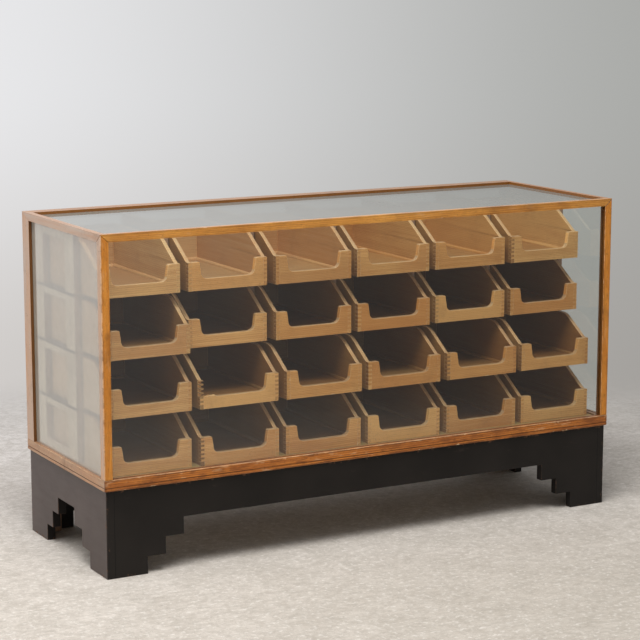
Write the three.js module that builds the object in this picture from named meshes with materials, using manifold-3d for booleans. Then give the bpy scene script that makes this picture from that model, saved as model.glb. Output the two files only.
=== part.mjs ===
import * as THREE from "three";
import { mergeVertices } from "three/addons/utils/BufferGeometryUtils.js";
import Module from "manifold-3d";

const wasm = await Module();
wasm.setup();

// Whole object, millimetres, front face at depth 0, left end at width 0, standing on height 0
const CASE_WIDTH = 1220;
const CASE_DEPTH = 418.6;
const PLINTH_HEIGHT = 180.4;
const OVERALL_HEIGHT = 692.1;

// Clearances
const JOINT_GAP = 0.3;
const MERGE_GAP = 0.001;

// Case frame
const MEMBER_WIDTH = 18;
const REAR_MEMBER_DEPTH = 38;
const TOP_RAIL_HEIGHT = 16;
const BOTTOM_RAIL_HEIGHT = 22.8;
const FRAME_CHAMFER = 1.5;
const STRIP_HEIGHT = 6.5;
const STRIP_GROOVE = 1.4;

// Panes
const PANE_THICKNESS = 3;
const PANE_SETBACK = 7;
const PANE_GROOVE_DEPTH = 5;
const TOP_PANE_THICKNESS = 4;
const TOP_REVEAL = 6;
const TOP_LEDGE = 5;

// Case floor
const FLOOR_THICKNESS = 19.2;

// Drawer grid, rows counted from the top and columns from the left
const COLUMNS = 6;
const ROWS = 4;
const END_MARGIN = 27.45;
const COLUMN_GAP = 18.1;
const HEAD_SPACE = 23.7;
const ROW_GAP = 13.2;
const DRAWER_SETBACKS = [
  [80.6, 80.2, 75.5, 82.3, 86, 86.6],
  [36.3, 82.3, 75.3, 78.6, 84.5, 87.3],
  [31.9, 31.2, 29.1, 33.1, 34.5, 40.1],
  [35.1, 29.7, 33.6, 34.6, 35.2, 39.3],
];
const BROKEN_ROW = 3;
const BROKEN_COLUMN = 2;

// Drawer
const DRAWER_LENGTH = 326;
const FRONT_THICKNESS = 11;
const SIDE_THICKNESS = 8;
const BACK_THICKNESS = 9;
const BOTTOM_THICKNESS = 6;
const BOTTOM_LIFT = 6;
const EAR_WIDTH = 26;
const EAR_HEIGHT = 59;
const EAR_ROUND = 3.5;
const SCOOP_FLOOR = 24;
const SCOOP_FLARE = 2.5;
const SCOOP_RADIUS = 16;
const SWEEP_KNEE_DEPTH = 66;
const SWEEP_KNEE_DROP = 9;
const SWEEP_CROWN_DEPTH = 79.5;
const SWEEP_END_DEPTH = 92;
const BREAK_HEIGHT = 26;
const DOVETAIL_PITCH = 8.8;
const DOVETAIL_SOCKET = 4.4;
const DOVETAIL_SPLAY = 0.9;

// Drawer knob
const KNOB_RADIUS = 10;
const KNOB_NECK_RADIUS = 5.5;
const KNOB_PROJECTION = 16;
const KNOB_NECK_LENGTH = 6;
const KNOB_EDGE = 3;
const KNOB_HEIGHT = 52;
const KNOB_TENON = 4;

// Ladder frames between the columns
const LADDER_THICKNESS = 12;
const LADDER_FRONT = 167;
const LADDER_FRONT_STILE = 48;
const LADDER_REAR_STILE = 46;
const LADDER_RAIL_HEIGHT = 20;
const LADDER_TOP_RISE = 3;
const RUNNER_HEIGHT = 7.5;
const RUNNER_REACH = 7;

// Plinth
const PLINTH_INSET = 4.4;
const BOARD_THICKNESS = 18;
const STEP_RISE = 36;
const FOOT_WIDTH = 88.5;
const STEP_RUN = 40;
const REAR_STEP_RUN = 32;
const BLOCK_WIDTH = 30;
const BLOCK_LIFT = 4;

// Counts of steps and flats
const PLINTH_STEPS = 3;
const EAR_FLATS = 2;
const CURVE_FLATS = 4;
const SWEEP_FLATS = 3;
const KNOB_SIDES = 12;

// Places that follow from the sizes above
const HALF_WIDTH = CASE_WIDTH / 2;
const DEEPEST_SETBACK = Math.max(...DRAWER_SETBACKS.flat());
const HALF_DEPTH = (DEEPEST_SETBACK + DRAWER_LENGTH + KNOB_PROJECTION) / 2;
const POST_BOTTOM = PLINTH_HEIGHT + BOTTOM_RAIL_HEIGHT;
const POST_TOP = OVERALL_HEIGHT - TOP_RAIL_HEIGHT;
const REAR_INNER = CASE_DEPTH - REAR_MEMBER_DEPTH;
const FLOOR_TOP = PLINTH_HEIGHT + FLOOR_THICKNESS;
const TOP_PANE_TOP = OVERALL_HEIGHT - TOP_REVEAL;
const LEDGE_HEIGHT = TOP_PANE_TOP - TOP_PANE_THICKNESS - JOINT_GAP;
const COLUMN_PITCH = (CASE_WIDTH - END_MARGIN * 2 + COLUMN_GAP) / COLUMNS;
const DRAWER_WIDTH = COLUMN_PITCH - COLUMN_GAP;
const ROW_PITCH = (OVERALL_HEIGHT - FLOOR_TOP - HEAD_SPACE) / ROWS;
const DRAWER_HEIGHT = ROW_PITCH - ROW_GAP;
const KNEE_HEIGHT = DRAWER_HEIGHT - SWEEP_KNEE_DROP;
const LADDER_BACK = REAR_INNER - JOINT_GAP;

// Materials
const OAK = new THREE.MeshStandardMaterial({ color: 0xb9762f, roughness: 0.45, metalness: 0 });
const DRAWER_WOOD = new THREE.MeshStandardMaterial({ color: 0xb58750, roughness: 0.6, metalness: 0 });
const LADDER_WOOD = new THREE.MeshStandardMaterial({ color: 0x7a5a48, roughness: 0.7, metalness: 0 });
const FLOOR_WOOD = new THREE.MeshStandardMaterial({ color: 0xa8926c, roughness: 0.7, metalness: 0 });
const EBONISED = new THREE.MeshStandardMaterial({ color: 0x262422, roughness: 0.4, metalness: 0 });
const GLASS = new THREE.MeshStandardMaterial({
  color: 0xcfd8d2,
  roughness: 0.05,
  metalness: 0,
  transparent: true,
  opacity: 0.3,
});

const cabinet = new THREE.Group();
cabinet.name = "haberdashery_cabinet";

// A geometry as a solid for joining and cutting
function solid(geometry) {
  const bare = geometry.clone();
  bare.deleteAttribute("normal");
  bare.deleteAttribute("uv");
  const merged = mergeVertices(bare, MERGE_GAP);
  return new wasm.Manifold(
    new wasm.Mesh({
      numProp: 3,
      vertProperties: merged.attributes.position.array,
      triVerts: new Uint32Array(merged.index.array),
    }),
  );
}

// A solid as a geometry with flat faces
function geometryOf(body) {
  const mesh = body.getMesh();
  const geometry = new THREE.BufferGeometry();
  geometry.setAttribute("position", new THREE.BufferAttribute(mesh.vertProperties, 3));
  geometry.setIndex(new THREE.BufferAttribute(mesh.triVerts, 1));
  const flat = geometry.toNonIndexed();
  flat.computeVertexNormals();
  return flat;
}

// A box from its low corner to its high corner
function box(low, high) {
  const size = high.map((value, axis) => value - low[axis]);
  const geometry = new THREE.BoxGeometry(...size);
  geometry.translate(...low.map((value, axis) => value + size[axis] / 2));
  return solid(geometry);
}

// An outline in width and height, pushed back from one depth to another
function facing(points, front, back) {
  const shape = new THREE.Shape(points.map(([x, z]) => new THREE.Vector2(x, z)));
  const geometry = new THREE.ExtrudeGeometry(shape, { depth: back - front, bevelEnabled: false });
  geometry.rotateX(Math.PI / 2);
  geometry.translate(0, back, 0);
  return solid(geometry);
}

// An outline in depth and height, pushed from one width to another
function sideways(points, left, right) {
  const shape = new THREE.Shape(points.map(([y, z]) => new THREE.Vector2(y, z)));
  const geometry = new THREE.ExtrudeGeometry(shape, { depth: right - left, bevelEnabled: false });
  geometry.rotateX(Math.PI / 2);
  geometry.rotateZ(Math.PI / 2);
  geometry.translate(left, 0, 0);
  return solid(geometry);
}

// An outline in width and depth, raised from one height to another
function standing(points, bottom, top) {
  const shape = new THREE.Shape(points.map(([x, y]) => new THREE.Vector2(x, y)));
  const geometry = new THREE.ExtrudeGeometry(shape, { depth: top - bottom, bevelEnabled: false });
  geometry.translate(0, 0, bottom);
  return solid(geometry);
}

// The points of a curve from one point to another round a corner point
function bend(from, corner, to, flats) {
  const curve = new THREE.QuadraticBezierCurve(
    new THREE.Vector2(...from),
    new THREE.Vector2(...corner),
    new THREE.Vector2(...to),
  );
  return curve.getPoints(flats).map((point) => [point.x, point.y]);
}

// One named piece, put in the frame that is centred on the footprint
function piece(name, body, material) {
  const mesh = new THREE.Mesh(geometryOf(body), material);
  mesh.name = name;
  mesh.position.set(-HALF_WIDTH, -HALF_DEPTH, 0);
  cabinet.add(mesh);
}

// The same points measured from the other end of a width
function fromOtherEnd(points, width) {
  return points.map(([x, other]) => [width - x, other]);
}

// Bottom rails: mitred ring with a groove above the lower strip, grooved on top for the panes
const bottomRing = {
  front: [
    [JOINT_GAP, 0],
    [CASE_WIDTH - JOINT_GAP, 0],
    [CASE_WIDTH - MEMBER_WIDTH - JOINT_GAP, MEMBER_WIDTH],
    [MEMBER_WIDTH + JOINT_GAP, MEMBER_WIDTH],
  ],
  back: [
    [MEMBER_WIDTH + JOINT_GAP, REAR_INNER],
    [CASE_WIDTH - MEMBER_WIDTH - JOINT_GAP, REAR_INNER],
    [CASE_WIDTH - JOINT_GAP, CASE_DEPTH],
    [JOINT_GAP, CASE_DEPTH],
  ],
  left: [
    [0, 0],
    [MEMBER_WIDTH, MEMBER_WIDTH],
    [MEMBER_WIDTH, REAR_INNER],
    [0, CASE_DEPTH],
  ],
};

// The slot that a pane of the front or an end stands in
const PANE_NEAR = PANE_SETBACK - JOINT_GAP;
const PANE_FAR = PANE_SETBACK + PANE_THICKNESS + JOINT_GAP;
const SLOT_START = MEMBER_WIDTH - PANE_GROOVE_DEPTH - JOINT_GAP;
const REAR_SLOT_END = REAR_INNER + PANE_GROOVE_DEPTH + JOINT_GAP;
const SLOT_BOTTOM = POST_BOTTOM - PANE_GROOVE_DEPTH - JOINT_GAP;
const SLOT_TOP = LEDGE_HEIGHT - JOINT_GAP;
const frontSlot = box(
  [SLOT_START, PANE_NEAR, SLOT_BOTTOM],
  [CASE_WIDTH - SLOT_START, PANE_FAR, SLOT_TOP],
);
const leftSlot = box([PANE_NEAR, SLOT_START, SLOT_BOTTOM], [PANE_FAR, REAR_SLOT_END, SLOT_TOP]);

// The hollow above the ledge that the top pane lies on
const topLedge = box(
  [MEMBER_WIDTH - TOP_LEDGE, MEMBER_WIDTH - TOP_LEDGE, LEDGE_HEIGHT],
  [CASE_WIDTH - MEMBER_WIDTH + TOP_LEDGE, REAR_INNER + TOP_LEDGE, OVERALL_HEIGHT + JOINT_GAP],
);

// The other end's copy of a solid
function otherEnd(body) {
  return body.mirror([1, 0, 0]).translate([CASE_WIDTH, 0, 0]);
}

// What is left of a member beyond the plane that halves a corner with another member
function mitred(body, corner, along, across) {
  const normal = new THREE.Vector3();
  normal.setComponent(along, 1 / corner.size[along]);
  normal.setComponent(across, -1 / corner.size[across]);
  normal.normalize();
  const offset = normal.dot(new THREE.Vector3(...corner.at)) + JOINT_GAP / 2;
  return body.trimByPlane(normal.toArray(), offset);
}

// The two left top corners: the outer point, and the size from there inwards
const TOP_CORNERS = {
  front: { at: [0, 0, OVERALL_HEIGHT], size: [MEMBER_WIDTH, MEMBER_WIDTH, -TOP_RAIL_HEIGHT] },
  back: {
    at: [0, CASE_DEPTH, OVERALL_HEIGHT],
    size: [MEMBER_WIDTH, -REAR_MEMBER_DEPTH, -TOP_RAIL_HEIGHT],
  },
};

// A long top rail with both its ends mitred to the posts and to the end rails
function mitredLongRail(body, corner) {
  const leftCut = mitred(mitred(body, corner, 0, 1), corner, 0, 2);
  return otherEnd(mitred(mitred(otherEnd(leftCut), corner, 0, 1), corner, 0, 2));
}

// The small groove round the outside above the lower strip
const GROOVE_BOTTOM = PLINTH_HEIGHT + STRIP_HEIGHT;
const GROOVE_TOP = GROOVE_BOTTOM + STRIP_GROOVE;
const grooveOutside = box(
  [-JOINT_GAP, -JOINT_GAP, GROOVE_BOTTOM],
  [CASE_WIDTH + JOINT_GAP, CASE_DEPTH + JOINT_GAP, GROOVE_TOP],
);
const grooveInside = box(
  [STRIP_GROOVE, STRIP_GROOVE, GROOVE_BOTTOM - JOINT_GAP],
  [CASE_WIDTH - STRIP_GROOVE, CASE_DEPTH - STRIP_GROOVE, GROOVE_TOP + JOINT_GAP],
);
const stripGroove = grooveOutside.subtract(grooveInside);

function bottomRails() {
  const front = standing(bottomRing.front, PLINTH_HEIGHT, POST_BOTTOM).subtract(frontSlot);
  piece("rail_bottom_front", front.subtract(stripGroove), OAK);
  const left = standing(bottomRing.left, PLINTH_HEIGHT, POST_BOTTOM).subtract(leftSlot);
  const leftRail = left.subtract(stripGroove);
  piece("rail_bottom_left", leftRail, OAK);
  piece("rail_bottom_right", otherEnd(leftRail), OAK);
  const cornerStand = box([0, REAR_INNER, FLOOR_TOP], [MEMBER_WIDTH, CASE_DEPTH, POST_BOTTOM]);
  const low = standing(bottomRing.back, PLINTH_HEIGHT, FLOOR_TOP);
  const high = standing(bottomRing.back, PLINTH_HEIGHT, POST_BOTTOM);
  const leftStand = high.intersect(cornerStand);
  const rightStand = high.intersect(otherEnd(cornerStand));
  piece("rail_bottom_back", low.add(leftStand).add(rightStand).subtract(stripGroove), OAK);
}

// Corner posts with chamfered outer edges, mitred at the top and slotted for the panes
function cornerPosts() {
  const bottom = POST_BOTTOM + JOINT_GAP;
  const top = OVERALL_HEIGHT;
  const front = standing(
    [
      [FRAME_CHAMFER, 0],
      [MEMBER_WIDTH, 0],
      [MEMBER_WIDTH, MEMBER_WIDTH],
      [0, MEMBER_WIDTH],
      [0, FRAME_CHAMFER],
    ],
    bottom,
    top,
  ).subtract(frontSlot).subtract(leftSlot).subtract(topLedge);
  const back = standing(
    [
      [0, REAR_INNER],
      [MEMBER_WIDTH, REAR_INNER],
      [MEMBER_WIDTH, CASE_DEPTH],
      [FRAME_CHAMFER, CASE_DEPTH],
      [0, CASE_DEPTH - FRAME_CHAMFER],
    ],
    bottom,
    top,
  ).subtract(leftSlot).subtract(topLedge);
  const frontPost = mitred(mitred(front, TOP_CORNERS.front, 2, 0), TOP_CORNERS.front, 2, 1);
  const backPost = mitred(mitred(back, TOP_CORNERS.back, 2, 0), TOP_CORNERS.back, 2, 1);
  piece("post_front_left", frontPost, OAK);
  piece("post_front_right", otherEnd(frontPost), OAK);
  piece("post_back_left", backPost, OAK);
  piece("post_back_right", otherEnd(backPost), OAK);
}

// Top rails: mitred at the corners, with a ledge for the top pane and slots below for the others
function topRails() {
  const front = box([0, 0, POST_TOP], [CASE_WIDTH, MEMBER_WIDTH, OVERALL_HEIGHT]);
  const back = box([0, REAR_INNER, POST_TOP], [CASE_WIDTH, CASE_DEPTH, OVERALL_HEIGHT]);
  const left = box([0, 0, POST_TOP], [MEMBER_WIDTH, CASE_DEPTH, OVERALL_HEIGHT]);
  const frontRail = mitredLongRail(front, TOP_CORNERS.front).subtract(topLedge);
  const backRail = mitredLongRail(back, TOP_CORNERS.back).subtract(topLedge);
  const frontCut = mitred(mitred(left, TOP_CORNERS.front, 1, 0), TOP_CORNERS.front, 1, 2);
  const bothCut = mitred(mitred(frontCut, TOP_CORNERS.back, 1, 0), TOP_CORNERS.back, 1, 2);
  const leftRail = bothCut.subtract(topLedge).subtract(leftSlot);
  piece("rail_top_front", frontRail.subtract(frontSlot), OAK);
  piece("rail_top_left", leftRail, OAK);
  piece("rail_top_right", otherEnd(leftRail), OAK);
  piece("rail_top_back", backRail, OAK);
}

// Panes: front and ends stand in the slots, the top pane lies on the ledge
function panes() {
  const near = PANE_SETBACK;
  const far = PANE_SETBACK + PANE_THICKNESS;
  const start = SLOT_START + JOINT_GAP;
  const bottom = SLOT_BOTTOM + JOINT_GAP;
  const top = SLOT_TOP - JOINT_GAP;
  const left = box([near, start, bottom], [far, REAR_SLOT_END - JOINT_GAP, top]);
  piece("pane_front", box([start, near, bottom], [CASE_WIDTH - start, far, top]), GLASS);
  piece("pane_left", left, GLASS);
  piece("pane_right", otherEnd(left), GLASS);
  const edge = MEMBER_WIDTH - TOP_LEDGE + JOINT_GAP;
  const lid = box(
    [edge, edge, LEDGE_HEIGHT + JOINT_GAP],
    [CASE_WIDTH - edge, REAR_INNER + TOP_LEDGE - JOINT_GAP, TOP_PANE_TOP],
  );
  piece("pane_top", lid, GLASS);
}

// Case floor between the bottom rails
function caseFloor() {
  const low = [MEMBER_WIDTH + JOINT_GAP, MEMBER_WIDTH + JOINT_GAP, PLINTH_HEIGHT];
  const high = [CASE_WIDTH - MEMBER_WIDTH - JOINT_GAP, REAR_INNER - JOINT_GAP, FLOOR_TOP];
  piece("case_floor", box(low, high), FLOOR_WOOD);
}

// Ladder frames: two stiles, a rail under each row and runner flanges that reach under the drawers
function ladder(index) {
  const isLeftEnd = index === 0;
  const isRightEnd = index === COLUMNS;
  const isEnd = isLeftEnd || isRightEnd;
  const centre = END_MARGIN - COLUMN_GAP / 2 + COLUMN_PITCH * index;
  const left = centre - LADDER_THICKNESS / 2;
  const right = centre + LADDER_THICKNESS / 2;
  const bottom = (isEnd ? POST_BOTTOM : FLOOR_TOP) + JOINT_GAP;
  const top = isEnd ? POST_TOP - JOINT_GAP : POST_TOP + LADDER_TOP_RISE;
  const frontEnd = LADDER_FRONT + LADDER_FRONT_STILE;
  const rearStart = LADDER_BACK - LADDER_REAR_STILE;
  let frame = box([left, LADDER_FRONT, bottom], [right, frontEnd, top])
    .add(box([left, rearStart, bottom], [right, LADDER_BACK, top]))
    .add(box([left, LADDER_FRONT, bottom], [right, LADDER_BACK, bottom + LADDER_RAIL_HEIGHT]))
    .add(box([left, LADDER_FRONT, top - LADDER_RAIL_HEIGHT], [right, LADDER_BACK, top]));
  const reach = COLUMN_GAP / 2 + RUNNER_REACH;
  const flangeLeft = isLeftEnd ? left : centre - reach;
  const flangeRight = isRightEnd ? right : centre + reach;
  for (let step = 1; step < ROWS; step += 1) {
    const seat = FLOOR_TOP + ROW_PITCH * step;
    frame = frame
      .add(box([left, LADDER_FRONT, seat - LADDER_RAIL_HEIGHT], [right, LADDER_BACK, seat]))
      .add(box([flangeLeft, LADDER_FRONT, seat - RUNNER_HEIGHT], [flangeRight, LADDER_BACK, seat]));
  }
  piece("ladder_frame_" + (index + 1), frame, LADDER_WOOD);
}

// The scooped outline of a drawer front, without its left ear on the broken one
function frontOutline(isBroken) {
  const inner = EAR_WIDTH + SCOOP_FLARE;
  const floorStart = [inner + SCOOP_RADIUS, SCOOP_FLOOR];
  const earRound = bend(
    [EAR_WIDTH - EAR_ROUND, EAR_HEIGHT],
    [EAR_WIDTH, EAR_HEIGHT],
    [EAR_WIDTH, EAR_HEIGHT - EAR_ROUND],
    EAR_FLATS,
  );
  const scoopRound = bend(
    [inner, SCOOP_FLOOR + SCOOP_RADIUS],
    [inner, SCOOP_FLOOR],
    floorStart,
    CURVE_FLATS,
  );
  const ear = [[0, EAR_HEIGHT], ...earRound, ...scoopRound];
  const stub = [[0, BREAK_HEIGHT], [EAR_WIDTH, BREAK_HEIGHT], floorStart];
  const leftEnd = isBroken ? stub : ear.slice();
  const rightEnd = fromOtherEnd(ear, DRAWER_WIDTH);
  return [[0, 0], [DRAWER_WIDTH, 0], ...rightEnd, ...leftEnd.reverse()];
}

// The outline of a drawer side, swept down at the front to the height of the ear
function sideOutline() {
  return [
    [0, 0],
    [DRAWER_LENGTH, 0],
    [DRAWER_LENGTH, DRAWER_HEIGHT],
    ...bend(
      [SWEEP_END_DEPTH, DRAWER_HEIGHT],
      [SWEEP_CROWN_DEPTH, DRAWER_HEIGHT],
      [SWEEP_KNEE_DEPTH, KNEE_HEIGHT],
      SWEEP_FLATS,
    ),
    [FRONT_THICKNESS, EAR_HEIGHT],
    [0, EAR_HEIGHT],
  ];
}

// A turned knob on the back of a drawer
function knob() {
  const profile = [
    [0, -KNOB_TENON],
    [KNOB_NECK_RADIUS, -KNOB_TENON],
    [KNOB_NECK_RADIUS, KNOB_NECK_LENGTH],
    [KNOB_RADIUS, KNOB_NECK_LENGTH + KNOB_EDGE],
    [KNOB_RADIUS, KNOB_PROJECTION - KNOB_EDGE],
    [KNOB_NECK_RADIUS, KNOB_PROJECTION],
    [0, KNOB_PROJECTION],
  ].map(([radius, along]) => new THREE.Vector2(radius, along));
  const geometry = new THREE.LatheGeometry(profile, KNOB_SIDES);
  geometry.translate(DRAWER_WIDTH / 2, DRAWER_LENGTH, KNOB_HEIGHT);
  return geometry;
}

// A drawer: front, two sides, back, bottom and knob, joined
function drawerBody(isBroken) {
  const farSide = DRAWER_WIDTH - SIDE_THICKNESS;
  const leftSide = sideways(sideOutline(), 0, SIDE_THICKNESS);
  const rightSide = sideways(sideOutline(), farSide, DRAWER_WIDTH);
  const backStart = DRAWER_LENGTH - BACK_THICKNESS;
  const bottomTop = BOTTOM_LIFT + BOTTOM_THICKNESS;
  const back = box([0, backStart, 0], [DRAWER_WIDTH, DRAWER_LENGTH, DRAWER_HEIGHT]);
  const bottom = box([0, 0, BOTTOM_LIFT], [DRAWER_WIDTH, DRAWER_LENGTH, bottomTop]);
  const front = facing(frontOutline(isBroken), 0, FRONT_THICKNESS);
  const boards = leftSide.add(rightSide).add(back).add(bottom).add(front);
  const body = boards.add(solid(knob()));
  return isBroken ? body.subtract(dovetailSockets()) : body;
}

// The open sockets in the left side where the ear broke away
function dovetailSockets() {
  const half = DOVETAIL_SOCKET / 2;
  const lowest = BREAK_HEIGHT + half + DOVETAIL_SPLAY;
  let sockets = null;
  for (let middle = lowest; middle + half < EAR_HEIGHT; middle += DOVETAIL_PITCH) {
    const outline = [
      [-JOINT_GAP, middle - half],
      [FRONT_THICKNESS, middle - half - DOVETAIL_SPLAY],
      [FRONT_THICKNESS, middle + half + DOVETAIL_SPLAY],
      [-JOINT_GAP, middle + half],
    ];
    const socket = sideways(outline, -JOINT_GAP, SIDE_THICKNESS + JOINT_GAP);
    sockets = sockets ? sockets.add(socket) : socket;
  }
  return sockets;
}

// All drawers at the places where they stand
function drawers() {
  const whole = drawerBody(false);
  const broken = drawerBody(true);
  DRAWER_SETBACKS.forEach((row, rowIndex) => {
    row.forEach((setback, columnIndex) => {
      const isBroken = rowIndex + 1 === BROKEN_ROW && columnIndex + 1 === BROKEN_COLUMN;
      const x = END_MARGIN + COLUMN_PITCH * columnIndex;
      const z = FLOOR_TOP + JOINT_GAP + ROW_PITCH * (ROWS - 1 - rowIndex);
      const body = (isBroken ? broken : whole).translate([x, setback, z]);
      piece("drawer_row" + (rowIndex + 1) + "_col" + (columnIndex + 1), body, DRAWER_WOOD);
    });
  });
}

// The stepped outline of a plinth board between two ends, given the step runs at each end
function steppedOutline(start, end, startRun, endRun) {
  const top = PLINTH_HEIGHT - JOINT_GAP;
  const points = [[start, 0]];
  for (let step = 0; step < PLINTH_STEPS; step += 1) {
    const x = start + FOOT_WIDTH + startRun * step;
    points.push([x, STEP_RISE * step], [x, STEP_RISE * (step + 1)]);
  }
  for (let step = PLINTH_STEPS - 1; step >= 0; step -= 1) {
    const x = end - FOOT_WIDTH - endRun * step;
    points.push([x, STEP_RISE * (step + 1)], [x, STEP_RISE * step]);
  }
  points.push([end, 0], [end, top], [start, top]);
  return points;
}

// Plinth boards, mitred at the corners
function plinth() {
  const left = PLINTH_INSET;
  const right = CASE_WIDTH - PLINTH_INSET;
  const front = PLINTH_INSET;
  const back = CASE_DEPTH - PLINTH_INSET;
  const thick = BOARD_THICKNESS;
  const top = PLINTH_HEIGHT - JOINT_GAP;
  const frontPlan = [
    [left + JOINT_GAP, front],
    [right - JOINT_GAP, front],
    [right - thick - JOINT_GAP, front + thick],
    [left + thick + JOINT_GAP, front + thick],
  ];
  const longOutline = steppedOutline(left, right, STEP_RUN, STEP_RUN);
  const longBoard = facing(longOutline, front, front + thick).intersect(standing(frontPlan, 0, top));
  piece("plinth_front", longBoard, EBONISED);
  piece("plinth_back", longBoard.mirror([0, 1, 0]).translate([0, CASE_DEPTH, 0]), EBONISED);
  const endPlan = [
    [left, front],
    [left + thick, front + thick],
    [left + thick, back - thick],
    [left, back],
  ];
  const endOutline = steppedOutline(front, back, STEP_RUN, REAR_STEP_RUN);
  const endBoard = sideways(endOutline, left, left + thick).intersect(standing(endPlan, 0, top));
  piece("plinth_left", endBoard, EBONISED);
  piece("plinth_right", otherEnd(endBoard), EBONISED);
}

// Glue blocks inside the plinth corners
function glueBlocks() {
  const low = PLINTH_INSET + BOARD_THICKNESS + JOINT_GAP;
  const high = low + BLOCK_WIDTH;
  const top = PLINTH_HEIGHT - JOINT_GAP;
  const front = box([low, low, BLOCK_LIFT], [high, high, top]);
  const back = front.mirror([0, 1, 0]).translate([0, CASE_DEPTH, 0]);
  piece("glue_block_front_left", front, LADDER_WOOD);
  piece("glue_block_front_right", otherEnd(front), LADDER_WOOD);
  piece("glue_block_back_left", back, LADDER_WOOD);
  piece("glue_block_back_right", otherEnd(back), LADDER_WOOD);
}

bottomRails();
cornerPosts();
topRails();
panes();
caseFloor();
for (let index = 0; index <= COLUMNS; index += 1) ladder(index);
drawers();
plinth();
glueBlocks();

export default cabinet;
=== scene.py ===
import math
import random

import bmesh
import bpy
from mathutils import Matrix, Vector


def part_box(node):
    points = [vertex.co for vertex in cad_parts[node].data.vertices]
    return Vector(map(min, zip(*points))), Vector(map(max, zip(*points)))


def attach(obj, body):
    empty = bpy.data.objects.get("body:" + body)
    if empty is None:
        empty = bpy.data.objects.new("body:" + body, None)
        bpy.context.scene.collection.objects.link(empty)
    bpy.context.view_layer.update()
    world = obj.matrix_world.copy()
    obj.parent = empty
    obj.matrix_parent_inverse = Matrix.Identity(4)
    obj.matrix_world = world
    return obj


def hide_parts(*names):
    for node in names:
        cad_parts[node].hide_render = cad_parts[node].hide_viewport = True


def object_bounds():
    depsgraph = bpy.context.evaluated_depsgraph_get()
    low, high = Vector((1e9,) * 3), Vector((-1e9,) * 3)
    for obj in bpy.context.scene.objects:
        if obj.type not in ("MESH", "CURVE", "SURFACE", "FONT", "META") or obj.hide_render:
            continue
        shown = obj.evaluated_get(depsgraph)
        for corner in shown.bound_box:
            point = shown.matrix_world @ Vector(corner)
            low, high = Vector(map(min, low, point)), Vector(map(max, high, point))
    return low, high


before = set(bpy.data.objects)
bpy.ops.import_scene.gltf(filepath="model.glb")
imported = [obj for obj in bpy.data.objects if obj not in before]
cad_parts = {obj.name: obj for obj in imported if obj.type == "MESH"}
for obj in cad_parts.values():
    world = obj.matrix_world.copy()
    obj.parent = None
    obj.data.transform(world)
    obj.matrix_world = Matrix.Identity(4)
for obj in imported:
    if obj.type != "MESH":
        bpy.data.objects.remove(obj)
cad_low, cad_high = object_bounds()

# The view: the camera stands in front of the left end, a little higher than the top pane,
# turned to the right and tipped down.
CAMERA_PLACE = (-2.1488, -3.8769, 1.2352)
CAMERA_TURN = 0.5046
CAMERA_DIP = 0.1777
CAMERA_LENS = 116.47


def set_up(name, data):
    """A new object in the scene."""
    made = bpy.data.objects.new(name, data)
    bpy.context.scene.collection.objects.link(made)
    return made


camera = set_up("camera", bpy.data.cameras.new("camera"))
camera.data.sensor_width = 36
camera.data.lens = CAMERA_LENS
camera.location = CAMERA_PLACE
camera.rotation_euler = (math.pi / 2 - CAMERA_DIP, 0, -CAMERA_TURN)
bpy.context.scene.camera = camera
bpy.context.scene.view_settings.view_transform = "Standard"

# Bottom rails: a ring of golden oak round the foot of the case, mitred at the corners,
# with a thin paler strip planted below a small groove, and a slot on top for the panes.


def both_ways(operation):
    """The two methods of an operation, with the wire first and with the wire last."""
    return (
        lambda self, other: self.net.sum(operation, self, other),
        lambda self, other: self.net.sum(operation, other, self),
    )


class Wire:
    """A socket's value, which can be used in sums."""

    def __init__(self, net, socket):
        self.net = net
        self.socket = socket

    __add__, __radd__ = both_ways("ADD")
    __sub__, __rsub__ = both_ways("SUBTRACT")
    __mul__, __rmul__ = both_ways("MULTIPLY")
    __truediv__, __rtruediv__ = both_ways("DIVIDE")
    __pow__, __rpow__ = both_ways("POWER")


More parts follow.
